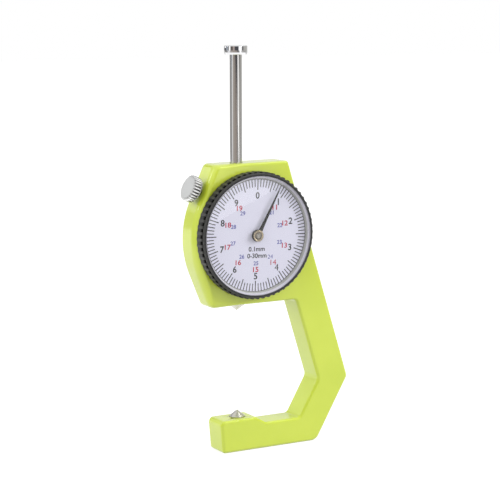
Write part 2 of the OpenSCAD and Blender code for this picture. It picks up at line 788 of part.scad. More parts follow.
module hairspring() {
  color("slateblue")
  y_slab(strip_y, strip_y + strip_w)
    translate([dial_x, dial_z])
      polygon(concat(
        [for (k = [0:spring_steps]) spiral(k, 1)],
        [for (k = [spring_steps:-1:0]) spiral(k, -1)]
      ));
}

module hairspring_stud() {
  color("goldenrod")
  y_bar(stud_x, dial_z, bridge_y, strip_y + strip_w, stud_d);
}

module hairspring_collet() {
  color("goldenrod")
  difference() {
    y_bar(dial_x, dial_z, bridge_back_y + face_gap, strip_y + strip_w, collet_d);
    y_bar(dial_x, dial_z, bridge_y, back_y, rear_journal_d + 2 * press_gap);
  }
}

module pinion_arbor() {
  color("gray") {
    y_slab(-pinion_w / 2, pinion_w / 2) translate([dial_x, dial_z]) polygon(pinion_points);
    y_bar(dial_x, dial_z, floor_y + face_gap, bridge_y - face_gap, collar_d);
    y_bar(dial_x, dial_z, front_y - boss_h, 0, front_journal_d);
    y_bar(dial_x, dial_z, front_y - hub_top_h, 0, arbor_nose_d);
    y_bar(dial_x, dial_z, 0, strip_y + strip_w, rear_journal_d);
  }
}

module pointer() {
  stem_hole_d = hub_stem_d + 2 * press_gap;
  color("black")
  on_dial() rotate([0, 0, -pointer_turn])
    difference() {
      union() {
        translate([0, 0, boss_h]) cylinder(h = hand_boss_h, d = hand_boss_d);
        translate([0, 0, hand_h]) linear_extrude(hand_t)
          polygon([
            [-hand_root_w / 2, 0], [hand_root_w / 2, 0],
            [hand_tip_w / 2, hand_l], [-hand_tip_w / 2, hand_l]
          ]);
      }
      translate([0, 0, boss_h - over]) cylinder(h = hand_boss_h + 2 * over, d = stem_hole_d);
    }
}

module pointer_hub() {
  color("peru")
  on_dial()
    difference() {
      union() {
        translate([0, 0, boss_h]) cylinder(h = hand_boss_h, d = hub_stem_d);
        translate([0, 0, hub_h]) cylinder(h = hub_head_h, d = hub_d);
      }
      translate([0, 0, boss_h - over])
        cylinder(h = hub_top_h - boss_h + 2 * over, d = arbor_nose_d + 2 * press_gap);
    }
}

module bezel() {
  nose_r = rib_root_r + rib_h / 8;
  nose_top_r = cavity_r + nose_flat * (nose_r - cavity_r);
  color("dimgray")
  on_dial()
    difference() {
      union() {
        translate([0, 0, bezel_gap]) linear_extrude(rim_h - nose_h - bezel_gap)
          polygon(rib_points(rib_count, rib_root_r, bezel_r));
        translate([0, 0, bezel_gap]) cylinder(h = rim_h - nose_h / 4 - bezel_gap, r = nose_r);
        translate([0, 0, rim_h - nose_h / 4]) cylinder(h = nose_h / 4, r1 = nose_r, r2 = nose_top_r);
      }
      translate([0, 0, dial_h - dial_t]) cylinder(h = rim_h, r = cavity_r);
      translate([0, 0, shelf_h - over]) cylinder(h = rim_h, r = shelf_r);
      cylinder(h = shelf_h, r = bore_r);
      wire_groove(shelf_r, wire_r + wire_room);
    }
}

module bezel_wire() {
  color("silver")
  on_dial() translate([0, 0, wire_h])
    rotate([0, 0, wire_opening / 2])
      rotate_extrude(angle = 360 - wire_opening) translate([wire_r, 0]) circle(d = bezel_wire_d);
}

module dial_plate() {
  color("lavender")
  on_dial() translate([0, 0, dial_h - dial_t])
    difference() {
      cylinder(h = dial_t, r = cavity_r - press_gap);
      translate([0, 0, -over]) cylinder(h = dial_t + 2 * over, d = dial_hole_d);
    }
}

module dial_ring() {
  color("whitesmoke")
  on_dial() translate([0, 0, dial_h])
    difference() {
      cylinder(h = ring_h, r = cavity_r - press_gap);
      translate([0, 0, -over]) cylinder(h = ring_h + 2 * over, r = cavity_r - ring_w);
      cylinder(h = ring_h, r1 = cavity_r - ring_w, r2 = cavity_r - ring_top_w);
      translate([0, 0, ring_h - press_gap]) cylinder(h = over, r = cavity_r - ring_top_w);
    }
}

module crystal() {
  color("aliceblue", 0.4)
  on_dial() translate([0, 0, crystal_h]) cylinder(h = crystal_t, r = cavity_r - press_gap);
}

module lock_pad() {
  color("ivory")
  on_lock() {
    translate([0, 0, nose_s]) sphere(d = pad_d);
    translate([0, 0, nose_s]) cylinder(h = pad_l, d = pad_d);
    translate([0, 0, nose_s]) cylinder(h = pad_l + pad_stem_l, d = pad_stem_d);
  }
}

module lock_screw() {
  core_r = knob_d / 2 - knurl_h;
  face_r = core_r - knob_chamfer;
  color("silver")
  on_lock()
    difference() {
      union() {
        translate([0, 0, lock_screw_s]) cylinder(h = knob_s - lock_screw_s + over, d = lock_d - 2 * run_gap);
        translate([0, 0, knob_s]) cylinder(h = knob_chamfer, r1 = face_r, r2 = core_r);
        translate([0, 0, knob_s + knob_chamfer]) linear_extrude(knob_t - 2 * knob_chamfer)
          polygon(rib_points(knurl_count, core_r, knob_d / 2));
        translate([0, 0, knob_s + knob_t - knob_chamfer])
          cylinder(h = knob_chamfer, r1 = core_r, r2 = face_r);
      }
      translate([0, 0, lock_screw_s - over])
        cylinder(h = pad_stem_l + face_gap + over, d = pad_stem_d + 2 * run_gap);
    }
}

frame();
back_cover();
back_cover_screws();
upper_bush();
lower_bush();
anvil_tip();
front_bearing();
bridge();
bridge_screws();
rear_bearing();
hairspring();
hairspring_stud();
bezel_wire();
spindle();
spindle_cap();
spindle_tip();
guide_pin();
pinion_arbor();
hairspring_collet();
pointer();
pointer_hub();
bezel();
dial_plate();
dial_ring();
crystal();
lock_pad();
lock_screw();
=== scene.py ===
import json
import math

import bmesh
import bpy
import numpy as np
from mathutils import Matrix, Vector


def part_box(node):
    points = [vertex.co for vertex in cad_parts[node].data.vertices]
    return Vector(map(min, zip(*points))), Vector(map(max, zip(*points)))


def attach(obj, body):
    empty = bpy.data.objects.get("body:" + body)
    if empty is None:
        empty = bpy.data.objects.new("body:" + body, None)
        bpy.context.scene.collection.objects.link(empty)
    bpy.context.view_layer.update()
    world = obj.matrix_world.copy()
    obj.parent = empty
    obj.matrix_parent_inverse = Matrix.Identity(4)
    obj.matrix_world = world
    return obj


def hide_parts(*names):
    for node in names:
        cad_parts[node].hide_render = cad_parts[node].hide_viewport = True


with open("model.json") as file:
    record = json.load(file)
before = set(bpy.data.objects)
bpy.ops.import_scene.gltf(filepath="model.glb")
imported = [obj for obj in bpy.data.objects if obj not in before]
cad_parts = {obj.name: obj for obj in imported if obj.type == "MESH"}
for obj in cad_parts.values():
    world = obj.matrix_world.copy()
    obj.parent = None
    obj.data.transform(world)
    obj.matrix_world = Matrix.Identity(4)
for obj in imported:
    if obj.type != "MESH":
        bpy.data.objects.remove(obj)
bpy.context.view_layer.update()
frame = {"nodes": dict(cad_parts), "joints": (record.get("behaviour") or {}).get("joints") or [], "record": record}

scene = bpy.context.scene
MM = 0.001

# Steps round a small and a large turned surface
ROUND, FINE_ROUND = 96, 192

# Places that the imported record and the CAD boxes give
joints = {joint["name"]: joint for joint in frame["joints"]}
couplings = {c["joint"]: c for c in frame["record"]["behaviour"]["couplings"]}
dial_x, _, dial_z = joints["bezel_turn"]["pos_m"]
back_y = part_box("frame")[1][1]
travel = -joints["spindle_slide"]["range_m"][0]
pointer_turn = couplings["pointer_spin"]["ratio"] * travel

# Each axis set is origin, two cross directions and the direction of the axis
DIAL = np.array([[dial_x, -back_y, dial_z], [1, 0, 0], [0, 0, 1], [0, -1, 0]])
ROD = np.array([[0, 0, 0], [1, 0, 0], [0, 1, 0], [0, 0, 1]])
lock_axis = np.array(joints["lock_turn"]["axis"])
LOCK = np.array([joints["lock_turn"]["pos_m"], np.cross([0, 1, 0], lock_axis), [0, 1, 0], lock_axis])


def dial_height(y):
    """Height of a depth y along the dial's axis: its distance in front of the frame's front face."""
    return DIAL[0][1] - y


bezel_low, bezel_high = (np.array(v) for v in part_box("bezel"))
bezel_r = (bezel_high[0] - bezel_low[0]) / 2 - 0.05 * MM
bezel_back = dial_height(bezel_high[1])
rim = dial_height(bezel_low[1])
crystal_low, crystal_high = (np.array(v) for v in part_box("crystal"))
crystal_back = dial_height(crystal_high[1])
seat_r = (crystal_high[0] - crystal_low[0]) / 2
dial_back, dial_face = (dial_height(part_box("dial_plate")[k][1]) for k in (1, 0))


def points_on(axes, node):
    """Heights along an axis and distances from it of a CAD node's points."""
    mesh = frame["nodes"][node].data
    flat = np.empty(3 * len(mesh.vertices), np.float32)
    mesh.vertices.foreach_get("co", flat)
    local = (flat.reshape(-1, 3) - axes[0]) @ axes[1:].T
    return local[:, 2], np.hypot(local[:, 0], local[:, 1])


# Surfaces
def unit(v):
    """Each row divided by its length; a row of zeros stays zeros."""
    return v / np.maximum(np.linalg.norm(v, axis=-1, keepdims=True), 1e-12)


def rounded(corners, closed=False, steps=6):
    """Line through corners (a, b, radius), where each corner becomes an arc tangent to its two sides.

    The arc's centre lies on the corner's bisector at radius over the sine of half the corner's angle,
    and the arc is the spherical blend of its two end radii. The ends of an open line stay sharp.
    """
    table = np.array(corners, float)
    spot, radius = table[:, :2], table[:, 2].copy()
    if not closed:
        radius[[0, -1]] = 0
    u = unit(np.roll(spot, 1, 0) - spot)
    v = unit(np.roll(spot, -1, 0) - spot)
    half = np.arccos(np.clip((u * v).sum(1), -1, 1)) / 2
    half = np.clip(half, 1e-4, math.pi / 2 - 1e-4)
    centre = spot + unit(u + v) * (radius / np.sin(half))[:, None]
    first = spot + u * (radius / np.tan(half))[:, None] - centre
    last = spot + v * (radius / np.tan(half))[:, None] - centre
    sweep = (math.pi - 2 * half)[:, None]
    t = np.linspace(0, 1, steps + 1)
    near = (np.sin((1 - t) * sweep) / np.sin(sweep))[..., None] * first[:, None]
    far = (np.sin(t * sweep) / np.sin(sweep))[..., None] * last[:, None]
    return (centre[:, None] + near + far).reshape(-1, 2)


def grid_faces(rows, columns, wrap_rows, wrap_columns):
    """Quads between neighbours of a grid of points; where it wraps, the last line joins the first."""
    i = np.arange(rows if wrap_rows else rows - 1)[:, None]
    j = np.arange(columns if wrap_columns else columns - 1)[None]
    k, m = (i + 1) % rows, (j + 1) % columns
    corners = np.stack([i * columns + j, k * columns + j, k * columns + m, i * columns + m], -1)
    return corners.reshape(-1, 4)


def set_on(axes, x, y, h):
    """Points at x and y across an axis and h along it."""
    return axes[0] + x[..., None] * axes[1] + y[..., None] * axes[2] + h[..., None] * axes[3]


def turned(axes, line, closed=False, count=ROUND, relief=None):
    """Turned surface: the line (radius, height) carried round the axis, less a relief by angle and height.

    A point is origin plus r cos a and r sin a across the axis plus h along it.
    """
    a = 2 * math.pi * np.arange(count)[:, None] / count
    r = np.broadcast_to(line[:, 0], (count, len(line)))
    if relief is not None:
        r = r - relief(a, line[:, 1][None])
    h = np.broadcast_to(line[:, 1], r.shape)
    points = set_on(axes, r * np.cos(a), r * np.sin(a), h)
    return points.reshape(-1, 3), grid_faces(count, len(line), True, closed)


def joined(*shells):
    """Several (points, faces) as one, with each shell's face numbers moved past the points before it."""
    starts = np.cumsum([0] + [len(points) for points, _ in shells[:-1]])
    faces = [[[i + int(s) for i in face] for face in part] for (_, part), s in zip(shells, starts)]
    return np.concatenate([points for points, _ in shells]), sum(faces, [])


def finish_mesh(mesh, sharp):
    """Merges doubles, turns the faces outwards and shades smooth, but for edges past sharp degrees."""
    work = bmesh.new()
    work.from_mesh(mesh)
    bmesh.ops.remove_doubles(work, verts=work.verts, dist=2e-7)
    bmesh.ops.dissolve_degenerate(work, edges=work.edges, dist=1e-8)
    bmesh.ops.recalc_face_normals(work, faces=work.faces)
    work.to_mesh(mesh)
    work.free()
    mesh.polygons.foreach_set("use_smooth", np.ones(len(mesh.polygons), bool))
    mesh.set_sharp_from_angle(angle=math.radians(sharp))


def piece(name, mesh, material, body, slot, stands_for=(), sharp=38):
    """Object of a finished mesh that rides on a body and stands for CAD nodes; its slot argument is not used."""
    finish_mesh(mesh, sharp)
    mesh.materials.clear()
    mesh.materials.append(material)
    thing = bpy.data.objects.new(name, mesh)
    scene.collection.objects.link(thing)
    even = thing.modifiers.new("even_normals", "WEIGHTED_NORMAL")
    even.keep_sharp = True
    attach(thing, body)
    if stands_for:
        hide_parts(*stands_for)
    return thing


def surface_piece(name, shell, *rest, **more):
    """Piece from worked-out points and faces."""
    points, faces = shell
    mesh = bpy.data.meshes.new(name)
    mesh.from_pydata(np.asarray(points).tolist(), [], [list(f) for f in np.asarray(faces, object)])
    return piece(name, mesh, *rest, **more)


def smooth_solid(name, node, material, body, slot, sharp=30):
    """Piece with a CAD node's own shape: a merged copy of its mesh with smooth roundings."""
    return piece(name, frame["nodes"][node].data.copy(), material, body, slot, (node,), sharp)


# Shader groups
def new_group(name, inputs, outputs):
    """Empty shader group with named float inputs, given with their defaults, and named float outputs."""
    group = bpy.data.node_groups.new(name, "ShaderNodeTree")
    for label, value in inputs:
        socket = group.interface.new_socket(label, in_out="INPUT", socket_type="NodeSocketFloat")
        socket.default_value = value
    for label in outputs:
        group.interface.new_socket(label, in_out="OUTPUT", socket_type="NodeSocketFloat")
    return group, group.nodes.new("NodeGroupInput"), group.nodes.new("NodeGroupOutput")


def add(tree, kind, **settings):
    """New node with its plain settings."""
    node = tree.nodes.new(kind)
    for key, value in settings.items():
        setattr(node, key, value)
    return node


def sum_of(tree, operation, first, second):
    """Math node between two values, each a socket or a number."""
    node = add(tree, "ShaderNodeMath", operation=operation)
    for socket, value in zip(node.inputs, (first, second)):
        if isinstance(value, (int, float)):
            socket.default_value = value
        else:
            tree.links.new(value, socket)
    return node.outputs[0]


def grain_group():
    """Fine even grain: noise on Object coordinates, as a height and as a share about 0.5."""
    group, given, out = new_group("fine_grain", [("Scale", 1500), ("Detail", 3)], ["Height", "Share"])
    place = add(group, "ShaderNodeTexCoord")
    noise = add(group, "ShaderNodeTexNoise")
    group.links.new(place.outputs["Object"], noise.inputs["Vector"])
    group.links.new(given.outputs["Scale"], noise.inputs["Scale"])
    group.links.new(given.outputs["Detail"], noise.inputs["Detail"])
    spread = add(group, "ShaderNodeMapRange")
    spread.inputs["From Min"].default_value = 0.3
    spread.inputs["From Max"].default_value = 0.7
    group.links.new(noise.outputs["Fac"], spread.inputs["Value"])
    group.links.new(noise.outputs["Fac"], out.inputs["Height"])
    group.links.new(spread.outputs["Result"], out.inputs["Share"])
    return group


def axis_group():
    """Radius and height on a turned piece's own axis, from the vector of a Mapping node."""
    group, given, out = new_group("axis_place", [], ["Radius", "Height"])
    group.interface.new_socket("Local", in_out="INPUT", socket_type="NodeSocketVector")
    parts = add(group, "ShaderNodeSeparateXYZ")
    group.links.new(given.outputs["Local"], parts.inputs[0])
    across = sum_of(group, "ADD", sum_of(group, "POWER", parts.outputs["X"], 2.0),
                    sum_of(group, "POWER", parts.outputs["Y"], 2.0))
    group.links.new(sum_of(group, "SQRT", across, 0.0), out.inputs["Radius"])
    group.links.new(parts.outputs["Z"], out.inputs["Height"])
    return group


def lathe_group():
    """Tool marks of a lathe: noise read along one line only, as a height."""
    group, given, out = new_group("lathe_marks", [("Place", 0), ("Scale", 6000)], ["Height"])
    noise = add(group, "ShaderNodeTexNoise", noise_dimensions="1D")
    noise.inputs["Detail"].default_value = 4
    group.links.new(given.outputs["Place"], noise.inputs["W"])
    group.links.new(given.outputs["Scale"], noise.inputs["Scale"])
    group.links.new(noise.outputs["Fac"], out.inputs["Height"])
    return group


fine_grain = grain_group()
axis_place = axis_group()
lathe_marks = lathe_group()


# Materials
def finish(name, colour, roughness, metallic=0.0, **sockets):
    """Material with a Principled BSDF whose constant values are set on its own sockets."""
    material = bpy.data.materials.new(name)
    material.use_nodes = True
    shader = material.node_tree.nodes["Principled BSDF"]
    shader.inputs["Base Color"].default_value = (*colour, 1)
    shader.inputs["Roughness"].default_value = roughness
    shader.inputs["Metallic"].default_value = metallic
    for label, value in sockets.items():
        shader.inputs[label.replace("_", " ")].default_value = value
    return material, material.node_tree, shader


def use_group(tree, group, **values):
    """Group node in a material, with its own values."""
    node = add(tree, "ShaderNodeGroup", node_tree=group)
    for label, value in values.items():
        node.inputs[label].default_value = value
    return node


def bumped(tree, shader, height, depth):
    """Bump of a given depth in metres on the shader's normal."""
    bump = add(tree, "ShaderNodeBump")
    bump.inputs["Strength"].default_value = 1.0
    bump.inputs["Distance"].default_value = depth
    tree.links.new(height, bump.inputs["Height"])
    tree.links.new(bump.outputs["Normal"], shader.inputs["Normal"])


def varied(tree, share, low, high, socket):
    """Value between low and high by a share from 0 to 1."""
    node = add(tree, "ShaderNodeMapRange")
    node.inputs["To Min"].default_value = low
    node.inputs["To Max"].default_value = high
    tree.links.new(share, node.inputs["Value"])
    tree.links.new(node.outputs["Result"], socket)


# Sockets of a Mix node that mixes colours
MIX_SHARE, MIX_LOW, MIX_HIGH, MIXED = 0, 6, 7, 2


def mixed(tree, share, low, high):
    """Colour between low and high by a share from 0 to 1; each is a socket or three numbers."""
    node = add(tree, "ShaderNodeMix", data_type="RGBA")
    tree.links.new(share, node.inputs[MIX_SHARE])
    for spot, colour in ((MIX_LOW, low), (MIX_HIGH, high)):
        if isinstance(colour, tuple):
            node.inputs[spot].default_value = (*colour, 1)
        else:
            tree.links.new(colour, node.inputs[spot])
    return node.outputs[MIXED]


def enamel_finish(name, low, high, roughness, coat, peel_scale, peel_depth):
    """Sprayed enamel: cloudy colour over centimetres, orange peel over millimetres, and a clear coat."""
    material, tree, shader = finish(
        name, high, roughness, Coat_Weight=coat, Coat_Roughness=0.16, Coat_IOR=1.45)
    clouds = use_group(tree, fine_grain, Scale=70, Detail=2)
    tree.links.new(mixed(tree, clouds.outputs["Share"], low, high), shader.inputs["Base Color"])
    peel = use_group(tree, fine_grain, Scale=peel_scale, Detail=2)
    varied(tree, peel.outputs["Share"], roughness - 0.04, roughness + 0.06, shader.inputs["Roughness"])
    bumped(tree, shader, peel.outputs["Height"], peel_depth)
    return material


def place_on(tree, axes):
    """Group node that gives radius and height on an axis set, from Object coordinates."""
    place = add(tree, "ShaderNodeTexCoord")
    local = add(tree, "ShaderNodeMapping", vector_type="TEXTURE")
    local.inputs["Location"].default_value = axes[0].tolist()
    local.inputs["Rotation"].default_value = Matrix(axes[1:].tolist()).transposed().to_euler()
    tree.links.new(place.outputs["Object"], local.inputs["Vector"])
    node = use_group(tree, axis_place)
    tree.links.new(local.outputs["Vector"], node.inputs["Local"])
    return node


def share_of(tree, value, low, high):
    """Smooth share of a value: 0 at low and 1 at high."""
    node = add(tree, "ShaderNodeMapRange", interpolation_type="SMOOTHSTEP")
    node.inputs["From Min"].default_value = low
    node.inputs["From Max"].default_value = high
    tree.links.new(value, node.inputs["Value"])
    return node.outputs["Result"]


def metal_finish(name, colour, roughness, axes, along, scale, depth, spread=0.05, groove_shade=None):
    """Turned or ground metal: lathe marks along "Radius" or "Height" of an axis, in roughness and bump.

    A groove shade is (colour, inner radius, outer radius): painted shade, in which the metal takes that colour
    towards the inner one.
    """
    material, tree, shader = finish(name, colour, roughness, 1.0)
    place = place_on(tree, axes)
    marks = use_group(tree, lathe_marks, Scale=scale)
    tree.links.new(place.outputs[along], marks.inputs["Place"])
    varied(tree, marks.outputs["Height"], roughness - spread, roughness + spread, shader.inputs["Roughness"])
    bumped(tree, shader, marks.outputs["Height"], depth)
    if groove_shade:
        groove_shade_colour, inner, outer = groove_shade
        # Painted shade: darker towards the bottoms of the grooves
        unshaded_share = share_of(tree, place.outputs["Radius"], inner, outer)
        tree.links.new(mixed(tree, unshaded_share, groove_shade_colour, colour), shader.inputs["Base Color"])
    return material


def plastic_finish(name, low, high, roughness, scale, depth, **sockets):
    """Moulded plastic: fine grain in colour, roughness and bump."""
    material, tree, shader = finish(name, high, roughness, **sockets)
    grain = use_group(tree, fine_grain, Scale=scale)
    tree.links.new(mixed(tree, grain.outputs["Share"], low, high), shader.inputs["Base Color"])
    varied(tree, grain.outputs["Share"], roughness - 0.05, roughness + 0.05, shader.inputs["Roughness"])
    bumped(tree, shader, grain.outputs["Height"], depth)
    return material


def rib_finish(name, slot, rib, pocket, rim_colour):
    """Moulded bezel: painted highlight on the rib tops, painted shade in the slots and in pockets where the slots
    deepen, and an edge round the window.
    """
    material, tree, shader = finish(name, rim_colour, 0.42)
    place = place_on(tree, DIAL)
    # Painted light by place: rib tops and the band's front take the lighter rib colour, slots the darker one,
    # pockets a near-black painted shade
    top = share_of(tree, place.outputs["Radius"], bezel_r - 0.14 * MM, bezel_r - 0.04 * MM)
    above = share_of(tree, place.outputs["Height"], BAND - 0.05 * MM, BAND + 0.02 * MM)
    low = share_of(tree, place.outputs["Radius"], bezel_r - 0.20 * MM, bezel_r - 0.36 * MM)
    pocket_shade_mask = sum_of(tree, "MULTIPLY", low, sum_of(tree, "SUBTRACT", 1, above))
    front = share_of(tree, place.outputs["Radius"], seat_r + 0.62 * MM, seat_r + 0.46 * MM)
    ribs = mixed(tree, sum_of(tree, "MAXIMUM", top, above), slot, rib)
    band = mixed(tree, pocket_shade_mask, ribs, pocket)
    tree.links.new(mixed(tree, front, band, rim_colour), shader.inputs["Base Color"])
    # The pockets' painted shade takes their reflection away too
    varied(tree, pocket_shade_mask, 0.24, 0.0, shader.inputs["Specular IOR Level"])
    grain = use_group(tree, fine_grain, Scale=4500)
    varied(tree, grain.outputs["Share"], 0.37, 0.47, shader.inputs["Roughness"])
    bumped(tree, shader, grain.outputs["Height"], 0.000004)
    return material


def shade_ramp(tree, share, shades):
    """Colour by a share: stops (share, colour), of which the first and last are the ramp's own two."""
    ramp = add(tree, "ShaderNodeValToRGB")
    stops = ramp.color_ramp.elements
    for stop, (spot, colour) in zip(stops, (shades[0], shades[-1])):
        stop.position, stop.color = spot, (*colour, 1)
    for spot, colour in shades[1:-1]:
        stops.new(spot).color = (*colour, 1)
    tree.links.new(share, ramp.inputs["Fac"])
    return ramp.outputs["Color"]


def painted_light_finish(name, along, low, high, shades, roughness, **more):
    """Turned or moulded piece with fine grain: shades (share, colour) by radius or height on the dial, which paint
    shade and highlight into its colour.
    """
    material, tree, shader = finish(name, shades[-1][1], roughness, **more)
    place = place_on(tree, DIAL)
    share = add(tree, "ShaderNodeMapRange")
    share.inputs["From Min"].default_value = low
    share.inputs["From Max"].default_value = high
    tree.links.new(place.outputs[along], share.inputs["Value"])
    tree.links.new(shade_ramp(tree, share.outputs["Result"], shades), shader.inputs["Base Color"])
    grain = use_group(tree, fine_grain, Scale=3000)
    varied(tree, grain.outputs["Share"], roughness - 0.05, roughness + 0.05, shader.inputs["Roughness"])
    bumped(tree, shader, grain.outputs["Height"], 0.000001)
    return material


def window_finish(name):
    """Clear window: plain glass that lets the lamps' light straight through to the dial."""
    material, tree, shader = finish(
        name, (1, 1, 1), 0.02, Transmission_Weight=1.0, IOR=1.45, Specular_IOR_Level=0.25)
    rays = add(tree, "ShaderNodeLightPath")
    clear = add(tree, "ShaderNodeBsdfTransparent")
    mix = add(tree, "ShaderNodeMixShader")
    end = tree.nodes["Material Output"]
    lit = sum_of(tree, "MAXIMUM", rays.outputs["Is Shadow Ray"], rays.outputs["Is Diffuse Ray"])
    tree.links.new(lit, mix.inputs["Fac"])
    tree.links.new(shader.outputs[0], mix.inputs[1])
    tree.links.new(clear.outputs[0], mix.inputs[2])
    tree.links.new(mix.outputs[0], end.inputs["Surface"])
    return material


knob_r = points_on(LOCK, "lock_screw")[1].max()
hub_r = points_on(DIAL, "pointer_hub")[1].max()
BAND = rim - 0.66 * MM
green_enamel = enamel_finish(
    "green_enamel", (0.575, 0.69, 0.040), (0.625, 0.735, 0.052), 0.34, 1.0, 1500, 0.00001)
rod_steel = metal_finish("rod_steel", (0.66, 0.65, 0.64), 0.085, ROD, "Height", 5000, 0.0000002)
tip_steel = metal_finish("tip_steel", (0.66, 0.64, 0.60), 0.38, ROD, "Height", 9000, 0.000001)
cap_chrome = metal_finish("cap_chrome", (0.74, 0.74, 0.75), 0.05, ROD, "Height", 6000, 0.0000001, 0.02)
knob_satin = metal_finish("knob_satin", (0.62, 0.625, 0.62), 0.36, LOCK, "Radius", 7000, 0.000002)
# The knurl's dark colour deep in its grooves is painted shade
knurl_chrome = metal_finish("knurl_chrome", (0.80, 0.80, 0.80), 0.12, LOCK, "Height", 7000, 0.000001,
                            groove_shade=((0.2, 0.2, 0.2), knob_r - 0.50 * MM, knob_r - 0.30 * MM))
# The hub's colour by radius is painted light: painted highlight round the arbor's end and on the rim, painted
# shade in the recess between them
hub_bronze = painted_light_finish("hub_bronze", "Radius", 0, hub_r, [
    (0.0, (0.34, 0.32, 0.29)), (0.40, (0.30, 0.28, 0.24)), (0.5, (0.11, 0.095, 0.075)),
    (0.64, (0.12, 0.10, 0.08)), (0.74, (0.34, 0.285, 0.20)), (1.0, (0.32, 0.265, 0.185))], 0.30, metallic=1.0)
# Near-black side of the hub: painted shade
hub_side_shade = metal_finish("hub_side_shade", (0.035, 0.03, 0.025), 0.4, DIAL, "Height", 9000, 0.000002)
arbor_steel = metal_finish("arbor_steel", (0.30, 0.285, 0.26), 0.36, DIAL, "Radius", 8000, 0.000002)
plain_brass = metal_finish("plain_brass", (0.72, 0.52, 0.24), 0.30, DIAL, "Radius", 8000, 0.000002)
plain_steel = metal_finish("plain_steel", (0.58, 0.58, 0.59), 0.28, DIAL, "Radius", 8000, 0.000002)
# Slot, rib and pocket colours are painted shade and highlight; the window's edge keeps its own dark grey
bezel_black = rib_finish(
    "bezel_black", (0.022, 0.022, 0.022), (0.056, 0.056, 0.053), (0.006, 0.006, 0.005), (0.030, 0.030, 0.031))
# The ring's colour by height is painted shade: a dark painted shadow line at its foot and a grey painted shade
# over its lower half, paler towards the window
ring_white = painted_light_finish("ring_white", "Height", dial_face, crystal_back, [
    (0.0, (0.10, 0.10, 0.105)), (0.05, (0.10, 0.10, 0.105)), (0.12, (0.34, 0.34, 0.325)),
    (0.5, (0.37, 0.37, 0.36)), (0.64, (0.58, 0.565, 0.64)), (1.0, (0.60, 0.585, 0.67))], 0.42,
    Specular_IOR_Level=0.2)
dial_enamel = plastic_finish("dial_enamel", (0.635, 0.627, 0.753), (0.676, 0.668, 0.79), 0.55, 5000, 0.000001)
print_black = plastic_finish("print_black", (0.005, 0.005, 0.006), (0.010, 0.010, 0.011), 0.6, 6000, 0.000001,
                             Specular_IOR_Level=0.1)
print_red = plastic_finish("print_red", (0.40, 0.002, 0.03), (0.46, 0.005, 0.04), 0.6, 6000, 0.000001,
                           Specular_IOR_Level=0.1)
print_blue = plastic_finish("print_blue", (0.045, 0.05, 0.28), (0.06, 0.065, 0.34), 0.6, 6000, 0.000001)
hand_black = plastic_finish("hand_black", (0.005, 0.005, 0.005), (0.010, 0.010, 0.010), 0.5, 5000, 0.000002,
                            Specular_IOR_Level=0.1)
pad_nylon = plastic_finish("pad_nylon", (0.74, 0.72, 0.64), (0.80, 0.78, 0.70), 0.5, 2500, 0.000003)
clear_window = window_finish("clear_window")


# Frame with a softer left front edge; the back cover, its screws and the rod keep their solids' shapes
# Corners of the body's left side from the top edge to the bottom edge: place and rounding in millimetres
FLANK = [(6, 88.23, 0), (-8.87, 88.05, 2), (-18.52, 66.64, 28), (-10.57, 44.93, 1.9), (-2.6, 45.35, 0)]


def flank_cutter():
    """Solid outside the casting's soft left front edge: an arc and an outer corner carried along the flank.

    At an angle f the arc lies width times one less sine f inside the flank, and depth times one less
    cosine f behind the front. Width and depth grow from the top edge's small rounding to their full
    size, grow once more at the chin and fall again past it.
    """
    count, outside, skin = 140, 1.0 * MM, 0.015 * MM
    top_run, end_run, chin_start, chin_run = 16 * MM, 14 * MM, 40 * MM, 10 * MM
    edge = 0.7
    corners = np.unique((rounded(FLANK, steps=40) * MM).round(7), axis=0, return_index=True)
    path = corners[0][np.argsort(corners[1])]
    length = np.concatenate([[0], np.cumsum(np.linalg.norm(np.diff(path, axis=0), axis=1))])
    spots = np.linspace(0, length[-1], count)
    x, z = (np.interp(spots, length, path[:, k]) for k in (0, 1))
    along = unit(np.stack([np.gradient(x), np.gradient(z)], 1))
    inward = np.stack([-along[:, 1], along[:, 0]], 1)
    grow = np.clip(spots / top_run, 0, 1) * np.clip((length[-1] - spots) / end_run, 0, 1)
    chin = np.clip((spots - chin_start) / chin_run, 0, 1) * grow
    grow, chin = ((s * s * (3 - 2 * s))[:, None] for s in (grow, chin))
    width = (edge + 0.7 * grow + 0.4 * chin) * MM
    depth = (edge + 2.7 * grow + 0.6 * chin) * MM
    f = np.linspace(0, math.pi / 2, 13)
    corner = np.full((count, 2), -outside)
    inset = np.concatenate([width * (1 - np.sin(f)) - skin, corner, width - skin], 1)
    back = np.concatenate([depth * (1 - np.cos(f)) - skin, depth, corner], 1)
    across, up = (v[:, None] + inward[:, k:k + 1] * inset for k, v in enumerate((x, z)))
    points = np.stack([across, DIAL[0][1] + back, up], -1)
    columns = inset.shape[1]
    faces = grid_faces(count, columns, False, True).tolist()
    ends = [list(range(columns)), list(range((count - 1) * columns, count * columns))]
    return points.reshape(-1, 3), faces + ends


def cut_solid(node, shell):
    """Mesh of a CAD node with a worked-out solid taken away from it."""
    cutter_mesh = bpy.data.meshes.new("cutter")
    cutter_mesh.from_pydata(shell[0].tolist(), [], shell[1])
    blank_mesh = frame["nodes"][node].data.copy()
    cutter, blank = (bpy.data.objects.new("cut", mesh) for mesh in (cutter_mesh, blank_mesh))
    for thing in (cutter, blank):
        finish_mesh(thing.data, 30)
        scene.collection.objects.link(thing)
    cut = blank.modifiers.new("cut", "BOOLEAN")
    cut.operation, cut.solver, cut.object = "DIFFERENCE", "EXACT", cutter
    mesh = bpy.data.meshes.new_from_object(blank.evaluated_get(bpy.context.evaluated_depsgraph_get()))
    for thing in (cutter, blank):
        bpy.data.meshes.remove(thing.data)
    return mesh


casting = cut_solid("frame", flank_cutter())
piece("frame_casting", casting, green_enamel, "frame", "green_paint", ("frame",), 30)
smooth_solid("back_plate", "back_cover", green_enamel, "frame", "green_paint")
smooth_solid("back_plate_screws", "back_cover_screws", plain_steel, "frame", "steel")
smooth_solid("rod", "spindle", rod_steel, "spindle", "steel")


